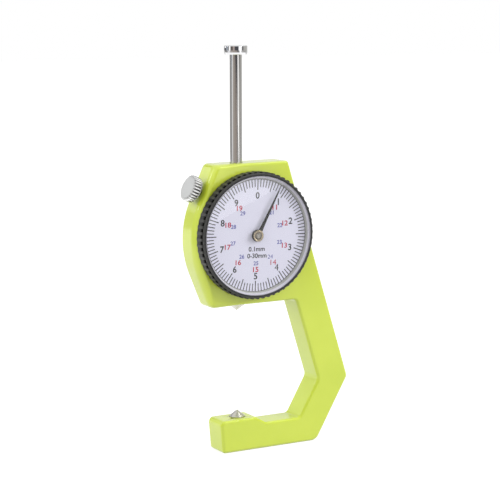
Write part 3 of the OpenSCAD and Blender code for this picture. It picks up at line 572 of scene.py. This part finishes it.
# Measuring tips
def tip_shell(axes, node, up):
    """Turned cone with a lip, a rounded point and its stem: a line from stem to point carried round."""
    h, r = points_on(axes, node)
    stem_r, lip_r, way = 1.0 * MM, r.max(), 1 if up else -1
    lip = h[r > 0.99 * lip_r]
    point, root, seat, edge = h.max(), h.min(), lip.min(), lip.max()
    if not up:
        point, root, seat, edge = root, point, edge, seat
    line = rounded([
        (0, root, 0), (stem_r, root, 0), (stem_r, seat, 0), (lip_r - 0.05 * MM, seat, 0),
        (lip_r, seat + way * 0.05 * MM, 0), (lip_r, edge, 0.08 * MM),
        (0.16 * MM, point - way * 0.13 * MM, 0.1 * MM), (0, point - way * 0.03 * MM, 0)])
    return turned(axes, line, count=72)


surface_piece("anvil_cone", tip_shell(ROD, "anvil_tip", True), tip_steel, "frame", "steel",
              stands_for=("anvil_tip",))
surface_piece("rod_cone", tip_shell(ROD, "spindle_tip", False), tip_steel, "spindle", "steel",
              stands_for=("spindle_tip",))


# Finger cap
def cap_shell():
    """Turned button with rounded edges and a shallow dish on top, hollow where the rod's end sits."""
    low, high = (np.array(v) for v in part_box("spindle_cap"))
    r = (high[0] - low[0]) / 2
    rod_r = (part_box("spindle")[1][1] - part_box("spindle")[0][1]) / 2 + 0.01 * MM
    z0, z1 = low[2], high[2]
    socket = z0 + 1.8 * MM
    line = rounded([
        (0, socket, 0), (rod_r, socket, 0), (rod_r, z0, 0), (r - 0.3 * MM, z0, 0.05 * MM),
        (r - 0.22 * MM, z0 + 0.08 * MM, 0.1 * MM), (r, z0 + 0.65 * MM, 0.3 * MM),
        (r, z1 - 0.2 * MM, 0.15 * MM), (r - 0.2 * MM, z1, 0.12 * MM), (r - 1.2 * MM, z1, 0.1 * MM),
        (r - 1.4 * MM, z1 - 0.06 * MM, 0.1 * MM), (0, z1 - 0.08 * MM, 0)])
    return turned(ROD, line)


surface_piece("finger_cap", cap_shell(), cap_chrome, "spindle", "chrome", stands_for=("spindle_cap",))


# Lock screw
def two_finishes(thing, axes, second):
    """Gives a second finish to the faces of a turned piece that look away from its axis."""
    mesh = thing.data
    mesh.materials.append(second)
    flat = np.empty(3 * len(mesh.polygons), np.float32)
    mesh.polygons.foreach_get("normal", flat)
    along = np.abs(flat.reshape(-1, 3) @ axes[3])
    mesh.polygons.foreach_set("material_index", (along < 0.5).astype(np.int32))


# Knurl grooves round the thumb screw, and steps round each
KNURL, GROOVE_STEPS = 26, 14


def knob_shell():
    """Turned thumb screw; its rim is cut by straight knurl grooves, each a raised cosine in the angle."""
    h, spread = points_on(LOCK, "lock_screw")
    r = knob_r - 0.03 * MM
    inner, knob, outer = h.min(), h[spread > 0.7 * r].min(), h.max()
    hole_r, hole_end = 0.64 * MM, inner + 1.1 * MM
    shank_r, rim_r, groove_depth = 1.46 * MM, r - 0.02 * MM, 0.5 * MM
    line = rounded([
        (0, hole_end, 0), (hole_r, hole_end, 0), (hole_r, inner, 0), (1.3 * MM, inner, 0),
        (shank_r, inner + 0.2 * MM, 0), (shank_r, knob, 0.1 * MM), (r - 0.2 * MM, knob, 0.05 * MM),
        (rim_r, knob + 0.16 * MM, 0.05 * MM), (rim_r, outer - 0.4 * MM, 0.05 * MM),
        (r - 0.12 * MM, outer - 0.3 * MM, 0.08 * MM), (r - 0.62 * MM, outer, 0.25 * MM),
        (0, outer, 0)], steps=4)

    def grooves(a, h):
        back, front = (h - knob) / (0.15 * MM), (outer - 0.1 * MM - h) / (0.3 * MM)
        rim_zone = np.clip(back, 0, 1) * np.clip(front, 0, 1)
        return groove_depth * rim_zone * (0.5 - 0.5 * np.cos(KNURL * a)) ** 2

    return turned(LOCK, line, count=GROOVE_STEPS * KNURL, relief=grooves)


screw = surface_piece("thumb_screw", knob_shell(), knob_satin, "lock_screw", "chrome",
                      stands_for=("lock_screw",))
two_finishes(screw, LOCK, knurl_chrome)


# Bezel: ribs round it, and steps round each
RIBS, RIB_STEPS = 64, 12


def bezel_shell():
    """Ring with grip ribs: a closed line carried round the dial's axis, its band cut by slots.

    A slot is a smooth step of the cosine of the rib angle. It is shallow at the back of the band and
    deepens to a pocket towards the front.
    """
    rib, rows = 0.46 * MM, 12
    nose, cavity, back_r = bezel_r - rib, seat_r + 0.01 * MM, bezel_r - 0.05 * MM
    bore_r, shelf_r, shelf_back = cavity - 1.0 * MM, cavity - 1.8 * MM, dial_back - 0.5 * MM
    heights = np.linspace(bezel_back + 0.2 * MM, BAND - 0.1 * MM, rows)
    radii = np.linspace(back_r, bezel_r, rows)
    line = rounded([
        (bore_r, bezel_back, 0.08 * MM), (back_r - 0.15 * MM, bezel_back, 0.1 * MM),
        *((r, h, 0) for r, h in zip(radii, heights)),
        (bezel_r - 0.1 * MM, BAND, 0.03 * MM), (nose, BAND + 0.02 * MM, 0.03 * MM),
        (nose, rim - 0.16 * MM, 0.12 * MM), (nose - 0.16 * MM, rim, 0.12 * MM),
        (cavity + 0.08 * MM, rim, 0.06 * MM), (cavity, rim - 0.08 * MM, 0.06 * MM),
        (cavity, dial_back, 0.02 * MM), (shelf_r, dial_back, 0.05 * MM),
        (shelf_r, shelf_back, 0.05 * MM), (bore_r, shelf_back, 0.02 * MM)], closed=True, steps=3)

    def slots(a, h):
        front = np.clip((h - BAND + 1.0 * MM) / (0.3 * MM), 0, 1)
        depth = rib * (0.28 + 0.72 * front * front * (3 - 2 * front))
        step = np.clip(0.5 + 1.5 * (0.15 - np.cos(RIBS * a)), 0, 1)
        over = np.maximum(line[:, 0] - nose, 0)[None] / rib
        return depth * over * step * step * (3 - 2 * step)

    return turned(DIAL, line, closed=True, count=RIB_STEPS * RIBS, relief=slots)


surface_piece("ribbed_bezel", bezel_shell(), bezel_black, "bezel", "black_plastic", stands_for=("bezel",))


# Dial, its ring and its print
def ring_shell():
    """Ring between dial and window: a closed line with a faintly bowed slope, carried round the axis."""
    foot, top = seat_r - 1.0 * MM, seat_r - 0.26 * MM
    t = np.linspace(0, 1, 13)
    slope = np.stack([foot + (top - foot) * t ** 0.9, dial_face + (crystal_back - dial_face) * t], 1)
    outside = np.array([[seat_r, crystal_back], [seat_r, dial_face]])
    return turned(DIAL, np.concatenate([slope, outside]), closed=True, count=FINE_ROUND)


surface_piece("sloped_ring", ring_shell(), ring_white, "bezel", "white_ring", stands_for=("dial_ring",))


def plate_shell():
    """Flat disc with a round hole and softened edges: a closed line carried round the dial's axis."""
    hole_r = 1.3 * MM
    line = rounded([
        (hole_r, dial_back, 0.03 * MM), (seat_r, dial_back, 0.03 * MM), (seat_r, dial_face, 0.02 * MM),
        (hole_r, dial_face, 0.05 * MM)], closed=True, steps=3)
    return turned(DIAL, line, closed=True, count=FINE_ROUND)


surface_piece("dial_disc", plate_shell(), dial_enamel, "bezel", "dial_enamel", stands_for=("dial_plate",))

# Thickness of the print, widening of its letters and radius of its scale; the dial's turn in the photograph
INK, WIDEN, SCALE_R = 0.012 * MM, 0.02, 16.9 * MM
print_turn = math.radians(1.8)
PRINT = DIAL.copy()
PRINT[1] = [math.cos(print_turn), 0, -math.sin(print_turn)]
PRINT[2] = [math.sin(print_turn), 0, math.cos(print_turn)]


def tick_shell(angles, inner, outer, width):
    """Printed strokes: one thin box for each clockwise angle, between two radii."""
    a = angles[:, None]
    corner = np.array([[-1, 0], [1, 0], [1, 1], [-1, 1]])
    along = inner + (outer - inner) * corner[:, 1]
    across = corner[:, 0] * width / 2
    x = np.concatenate([along * np.sin(a) + across * np.cos(a)] * 2, 1)
    y = np.concatenate([along * np.cos(a) - across * np.sin(a)] * 2, 1)
    h = np.broadcast_to(dial_face + np.repeat([0, INK], 4), x.shape)
    points = set_on(PRINT, x, y, h).reshape(-1, 3)
    box = np.array([[0, 1, 2, 3], [4, 7, 6, 5], [0, 4, 5, 1], [1, 5, 6, 2], [2, 6, 7, 3], [3, 7, 4, 0]])
    faces = (box[None] + 8 * np.arange(len(angles))[:, None, None]).reshape(-1, 4)
    return points, faces.tolist()


def circle_shell(radius, width):
    """Printed circle: a thin closed band carried round the dial's axis."""
    line = np.array([[radius - width / 2, dial_face], [radius + width / 2, dial_face],
                     [radius + width / 2, dial_face + INK], [radius - width / 2, dial_face + INK]])
    points, faces = turned(DIAL, line, closed=True, count=FINE_ROUND)
    return points, faces.tolist()


def word_shell(words, height, x, y, squeeze=1.0):
    """Printed word: a text curve made a mesh, scaled to a height, centred on x and y and laid on the dial.

    Its outline is widened a little. A 4 would fill its own opening, so words with a 4 stay as they are.
    """
    curve = bpy.data.curves.new("word", "FONT")
    curve.body = words
    curve.extrude = 0.1
    curve.offset = 0 if "4" in words else WIDEN
    curve.resolution_u = 4
    holder = bpy.data.objects.new("word", curve)
    scene.collection.objects.link(holder)
    mesh = bpy.data.meshes.new_from_object(holder.evaluated_get(bpy.context.evaluated_depsgraph_get()))
    flat = np.empty(3 * len(mesh.vertices), np.float32)
    mesh.vertices.foreach_get("co", flat)
    faces = [list(p.vertices) for p in mesh.polygons]
    bpy.data.objects.remove(holder)
    bpy.data.curves.remove(curve)
    bpy.data.meshes.remove(mesh)
    points = flat.reshape(-1, 3).astype(float)
    low, high = points.min(0), points.max(0)
    scale = height / (high[1] - low[1])
    middle = (low + high) / 2
    h = dial_face + np.where(points[:, 2] > middle[2], INK, 0)
    across = x + (points[:, 0] - middle[0]) * scale * squeeze
    return set_on(PRINT, across, y + (points[:, 1] - middle[1]) * scale, h), faces


def number_shells(first, radius, height, squeeze, rise):
    """Upright numbers round the dial: number k stands k tenths of a turn clockwise from the top.

    A rise in millimetres, by k, lifts a number a little from that place.
    """
    places = [(k, 2 * math.pi * k / 10) for k in range(0 if first == 0 else 1, 10)]
    return [word_shell(str(first + k), height, radius * math.sin(a),
                       radius * math.cos(a) + rise.get(k, 0) * MM, squeeze) for k, a in places]


marks = np.arange(100)
turns = 2 * math.pi / len(marks) * marks
long_strokes = tick_shell(turns[marks % 5 == 0], 13.7 * MM, SCALE_R, 0.29 * MM)
short_strokes = tick_shell(turns[marks % 5 != 0], 14.55 * MM, SCALE_R, 0.26 * MM)
legend = [word_shell("0.1mm", 1.46 * MM, 0.14 * MM, -4.08 * MM, 1.04),
          word_shell("0-30mm", 1.44 * MM, 0.28 * MM, -6.12 * MM, 1.04)]
first_turn = number_shells(0, 12.3 * MM, 2.0 * MM, 1.02, {0: -0.25, 2: 0.27, 3: -0.15, 8: 0.27})
second_turn = number_shells(10, 10.3 * MM, 1.58 * MM, 1.12, {2: 0.27, 3: -0.15, 6: 0.4, 8: 0.27})
third_turn = number_shells(
    20, 8.4 * MM, 1.25 * MM, 1.05, {2: 0.25, 3: 0.33, 4: 0.2, 6: 0.6, 7: 0.5, 8: 0.27})
# The printed circle round the scale lies at the ring's foot and also stands in for the shadow line there
black_print = joined(long_strokes, short_strokes, circle_shell(SCALE_R, 0.07 * MM), *legend, *first_turn)
surface_piece("print_black", black_print, print_black, "bezel", "black_paint")
surface_piece("print_red", joined(*second_turn), print_red, "bezel", "dial_enamel")
surface_piece("print_blue", joined(*third_turn), print_blue, "bezel", "dial_enamel")


# Pointer
boss_back = dial_height(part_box("pointer")[1][1])
boss_front = dial_height(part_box("pointer")[0][1])
hub_front = dial_height(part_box("pointer_hub")[0][1])
hand_length = np.linalg.norm(np.array(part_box("pointer")[1])[[0, 2]] - np.array([dial_x, dial_z]))


def hand_shell():
    """Tapered hand with a low ridge: a five-sided section that narrows along the length to closed ends."""
    rows, sides = 33, 5
    tip_half, taper, flare = 0.17, 0.48, 0.3
    t = np.linspace(0, 1, rows)[:, None]
    half = (tip_half + taper * (1 - t) + flare * np.clip(1 - 4 * t, 0, 1) ** 2) * MM
    inside = np.where((t > 0) & (t < 1), 1.0, 0.0)
    across = np.array([-1, 1, 1, 0, -1]) * half * inside
    drop = np.array([0.2, 0.2, 0.1, 0.02, 0.1]) * MM
    h = boss_front - 0.1 * MM * (1 - inside) - drop * inside
    along = t * (hand_length - 0.02 * MM) * np.ones(sides)
    x = along * math.sin(pointer_turn) + across * math.cos(pointer_turn)
    y = along * math.cos(pointer_turn) - across * math.sin(pointer_turn)
    return set_on(DIAL, x, y, h).reshape(-1, 3), grid_faces(rows, sides, False, True).tolist()


def boss_shell():
    """Round boss of the hand: a closed line with softened edges, carried round the dial's axis."""
    hole_r = 1.01 * MM
    line = rounded([
        (hole_r, boss_back, 0), (hub_r, boss_back, 0.06 * MM), (hub_r, boss_front, 0.08 * MM),
        (hole_r, boss_front, 0)], closed=True, steps=3)
    points, faces = turned(DIAL, line, closed=True)
    return points, faces.tolist()


def hub_shell():
    """Turned hub: stem through the hand, and a head with a raised rim and a ring round the arbor's end."""
    low, ring = hub_front - 0.14 * MM, hub_front - 0.04 * MM
    bore_r, stem_r = 0.56 * MM, 1.0 * MM
    line = rounded([
        (bore_r, boss_back, 0), (stem_r, boss_back, 0), (stem_r, boss_front, 0),
        (hub_r, boss_front, 0.03 * MM), (hub_r, hub_front, 0.16 * MM),
        (hub_r - 0.4 * MM, hub_front, 0.1 * MM), (hub_r - 0.5 * MM, low, 0.05 * MM),
        (0.9 * MM, low, 0.04 * MM), (0.84 * MM, ring, 0.05 * MM), (0.7 * MM, ring, 0.05 * MM),
        (0.64 * MM, low, 0.03 * MM), (bore_r, low, 0)], closed=True, steps=3)
    return turned(DIAL, line, closed=True)


surface_piece("hand", joined(hand_shell(), boss_shell()), hand_black, "pointer", "black_paint",
              stands_for=("pointer",))
hub = surface_piece("hand_hub", hub_shell(), hub_bronze, "pointer", "brass", stands_for=("pointer_hub",))
two_finishes(hub, DIAL, hub_side_shade)

# The other CAD nodes keep their solids and get their finishes
kept_finishes = {
    "crystal": clear_window, "lock_pad": pad_nylon, "upper_bush": plain_brass, "lower_bush": plain_brass,
    "front_bearing": plain_brass, "rear_bearing": plain_brass, "bridge": plain_brass,
    "bridge_screws": plain_steel, "hairspring": plain_steel, "hairspring_stud": plain_brass,
    "hairspring_collet": plain_brass, "bezel_wire": plain_steel, "guide_pin": plain_steel,
    "pinion_arbor": arbor_steel,
}
for node, material in kept_finishes.items():
    mesh = frame["nodes"][node].data
    mesh.materials.clear()
    mesh.materials.append(material)


# Studio
def seen_rays(tree):
    """1 for rays that show a background: camera, mirror and glass rays."""
    rays = add(tree, "ShaderNodeLightPath")
    pair = sum_of(tree, "MAXIMUM", rays.outputs["Is Camera Ray"], rays.outputs["Is Glossy Ray"])
    return sum_of(tree, "MAXIMUM", pair, rays.outputs["Is Transmission Ray"])


def studio_floor():
    """Pale floor: a plain square sheet of points; it shows white and keeps a light shadow."""
    half, drop, glow = 4.0, 0.05 * MM, 0.70
    side = np.array([-half, half])
    x, y = (v.ravel() for v in np.meshgrid(side, side, indexing="ij"))
    points = np.stack([x, y, np.full_like(x, -drop)], 1)
    mesh = bpy.data.meshes.new("floor")
    mesh.from_pydata(points.tolist(), [], [[0, 2, 3, 1]])
    material, tree, shader = finish(
        "pale_floor", (0.5, 0.5, 0.5), 1.0, Specular_IOR_Level=0.0, Emission_Color=(1, 1, 1, 1))
    tree.links.new(sum_of(tree, "MULTIPLY", seen_rays(tree), glow), shader.inputs["Emission Strength"])
    mesh.materials.append(material)
    floor = bpy.data.objects.new("floor", mesh)
    scene.collection.objects.link(floor)


def mirror_only(thing):
    """Puts a stage piece in the scene so that only mirrors see it."""
    scene.collection.objects.link(thing)
    for label in ("camera", "diffuse", "transmission", "volume_scatter", "shadow"):
        setattr(thing, "visible_" + label, False)


def plain_light(name, strength):
    """Material that only gives light, with its tree and its light node."""
    material = bpy.data.materials.new(name)
    material.use_nodes = True
    tree = material.node_tree
    tree.nodes.remove(tree.nodes["Principled BSDF"])
    light = add(tree, "ShaderNodeEmission")
    light.inputs["Strength"].default_value = strength
    tree.links.new(light.outputs[0], tree.nodes["Material Output"].inputs["Surface"])
    return material, tree, light


def studio_ring(name, low, high, walls):
    """Ring of pale and dark walls that only mirrors see: a cylinder with its brightness by the angle."""
    a = 2 * math.pi * np.arange(ROUND)[:, None] / ROUND
    x, y = (np.repeat(f(a), 2, 1) * WALL_RADIUS for f in (np.cos, np.sin))
    h = np.broadcast_to(np.array([low, high]), x.shape)
    mesh = bpy.data.meshes.new(name)
    points = np.stack([x, y, h], -1).reshape(-1, 3)
    mesh.from_pydata(points.tolist(), [], grid_faces(ROUND, 2, True, False).tolist())
    material, tree, light = plain_light(name, BRIGHTEST)
    place = add(tree, "ShaderNodeTexCoord")
    parts = add(tree, "ShaderNodeSeparateXYZ")
    tree.links.new(place.outputs["Object"], parts.inputs[0])
    angle = sum_of(tree, "ARCTAN2", parts.outputs["Y"], parts.outputs["X"])
    turn = sum_of(tree, "DIVIDE", sum_of(tree, "SUBTRACT", angle, CAMERA_SIDE), 2 * math.pi)
    share = sum_of(tree, "FRACT", turn, 0.0)
    shades = [(spot / 360, tuple(level / BRIGHTEST for level in value)) for spot, value in walls]
    tree.links.new(shade_ramp(tree, share, shades), light.inputs["Color"])
    mesh.materials.append(material)
    mirror_only(bpy.data.objects.new(name, mesh))


def mirror_card(name, middle, side, rise, strength):
    """Bright card that only mirrors see: a middle plus or minus two half edges, in millimetres."""
    corners = np.array([[-1, -1], [1, -1], [1, 1], [-1, 1]])
    points = (np.array(middle) + corners @ np.array([side, rise])) * MM
    mesh = bpy.data.meshes.new(name)
    mesh.from_pydata(points.tolist(), [], [[0, 1, 2, 3]])
    mesh.materials.append(plain_light(name, strength)[0])
    mirror_only(bpy.data.objects.new(name, mesh))


def soft_lamp(name, place, aim, side, power):
    """Square area lamp at a place, turned to its aim; mirrors see the studio's walls in its place."""
    lamp = bpy.data.lights.new(name, "AREA")
    lamp.size = side
    lamp.energy = power
    thing = bpy.data.objects.new(name, lamp)
    thing.location = place
    thing.rotation_euler = (Vector(aim) - Vector(place)).to_track_quat("-Z", "Y").to_euler()
    thing.visible_glossy = False
    scene.collection.objects.link(thing)


def studio_world(level):
    """Even white surroundings: white where they are seen, and a plain level of light everywhere else."""
    world = bpy.data.worlds.new("studio")
    world.use_nodes = True
    tree = world.node_tree
    back = tree.nodes["Background"]
    back.inputs["Color"].default_value = (1, 1, 1, 1)
    extra = sum_of(tree, "MULTIPLY", seen_rays(tree), 1 - level)
    tree.links.new(sum_of(tree, "ADD", extra, level), back.inputs["Strength"])
    scene.world = world


# Camera of the photograph: direction, distance, focal length and aim
AZIMUTH, ELEVATION, ROLL = math.radians(-29.61), math.radians(8.25), math.radians(-0.13)
DISTANCE, AIM = 0.4921, Vector((0.00478, 0.00008, 0.06127))
CAMERA_SIDE = math.atan2(-math.cos(AZIMUTH), math.sin(AZIMUTH))

# Studio walls that the metal mirrors: degrees to the right of the camera, and colour
WALL_RADIUS, LOW_SPLIT, WALL_SPLIT, WALL_HEIGHT, BRIGHTEST = 0.32, 0.056, 0.1145, 0.30, 1.5
ROD_WALLS = [
    (11, (0.40, 0.35, 0.32)), (18, (0.22, 0.21, 0.21)), (33, (0.22, 0.22, 0.22)), (40, (1.2, 1.2, 1.2)),
    (45, (1.5, 1.5, 1.5)), (54, (1.45, 1.45, 1.45)), (60, (0.62, 0.61, 0.59)), (91, (0.46, 0.45, 0.44)),
    (123, (0.52, 0.52, 0.50)), (165, (0.85, 0.85, 0.85)), (205, (0.85, 0.85, 0.85)),
    (226, (0.56, 0.56, 0.55)), (237, (0.33, 0.33, 0.32)), (255, (0.33, 0.33, 0.32)),
    (264, (0.36, 0.36, 0.36)), (273, (0.48, 0.48, 0.49)), (281, (0.88, 0.89, 0.91)),
    (298, (1.05, 1.06, 1.08)), (306, (0.54, 0.51, 0.48)), (330, (0.47, 0.42, 0.38)),
    (352, (0.45, 0.40, 0.36)),
]
LOW_WALLS = [
    (12, (0.45, 0.45, 0.43)), (19, (0.24, 0.24, 0.23)), (32, (0.24, 0.24, 0.23)), (41, (0.44, 0.44, 0.43)),
    (48, (0.42, 0.42, 0.41)), (80, (0.42, 0.42, 0.41)), (110, (0.55, 0.55, 0.53)), (165, (0.85, 0.85, 0.85)),
    (205, (0.85, 0.85, 0.85)), (240, (0.60, 0.60, 0.60)), (330, (0.55, 0.55, 0.53)),
]
CAP_WALLS = [
    (27, (0.09, 0.09, 0.10)), (32, (1.4, 1.4, 1.4)), (60, (1.4, 1.4, 1.4)), (66, (0.16, 0.16, 0.16)),
    (78, (0.18, 0.18, 0.18)), (86, (0.52, 0.51, 0.48)), (130, (0.56, 0.55, 0.52)), (165, (0.85, 0.85, 0.85)),
    (205, (0.85, 0.85, 0.85)), (215, (0.12, 0.12, 0.13)), (256, (0.12, 0.12, 0.13)),
    (262, (0.62, 0.68, 0.75)), (272, (0.62, 0.68, 0.75)), (277, (0.08, 0.08, 0.08)),
    (286, (0.10, 0.10, 0.10)), (291, (1.3, 1.3, 1.3)), (305, (1.3, 1.3, 1.3)), (311, (0.14, 0.12, 0.11)),
    (330, (0.16, 0.14, 0.13)), (337, (0.52, 0.44, 0.40)), (347, (0.50, 0.43, 0.39)),
    (353, (0.10, 0.10, 0.11)),
]

to_camera = Vector((math.sin(AZIMUTH) * math.cos(ELEVATION), -math.cos(AZIMUTH) * math.cos(ELEVATION),
                    math.sin(ELEVATION)))
lens = bpy.data.cameras.new("camera")
lens.sensor_width = 36
lens.lens = 116.55
lens.clip_start = 0.01
camera = bpy.data.objects.new("camera", lens)
camera.location = AIM + to_camera * DISTANCE
facing = to_camera.to_track_quat("Z", "Y").to_matrix()
camera.rotation_euler = (facing @ Matrix.Rotation(ROLL, 3, "Z")).to_euler()
scene.collection.objects.link(camera)
scene.camera = camera

studio_floor()
studio_ring("low_walls", 0.0, LOW_SPLIT, LOW_WALLS)
studio_ring("rod_walls", LOW_SPLIT, WALL_SPLIT, ROD_WALLS)
studio_ring("cap_walls", WALL_SPLIT, WALL_HEIGHT, CAP_WALLS)
studio_world(0.80)
soft_lamp("key_lamp", (0.78, -0.52, 0.44), (0, 0, 0.06), 0.5, 5.8)
soft_lamp("side_lamp", (-0.90, 0.04, 0.46), (0, 0, 0.06), 1.3, 6.0)
mirror_card("glare_card", (111, -222, 63), (17.2, 8, 10.4), (-6, -5.8, 14.4), 2.3)
mirror_card("flank_card", (-211, 148, 203), (3, 9, -1), (0, 0, 45), 8)
mirror_card("side_card", (-128, 243, 163.5), (54, 25, 0), (0, 0, 41.5), 1.45)
mirror_card("limb_card", (-40, 127, 58), (14, 4, 0), (0, 0, 9), 1.2)
mirror_card("low_side_card", (-128, 243, 33), (54, 25, 0), (0, 0, 32), 1.45)
mirror_card("top_card", (240, -100, 470), (60, 0, -20), (0, 60, 0), 5)
scene.view_settings.view_transform = "Standard"
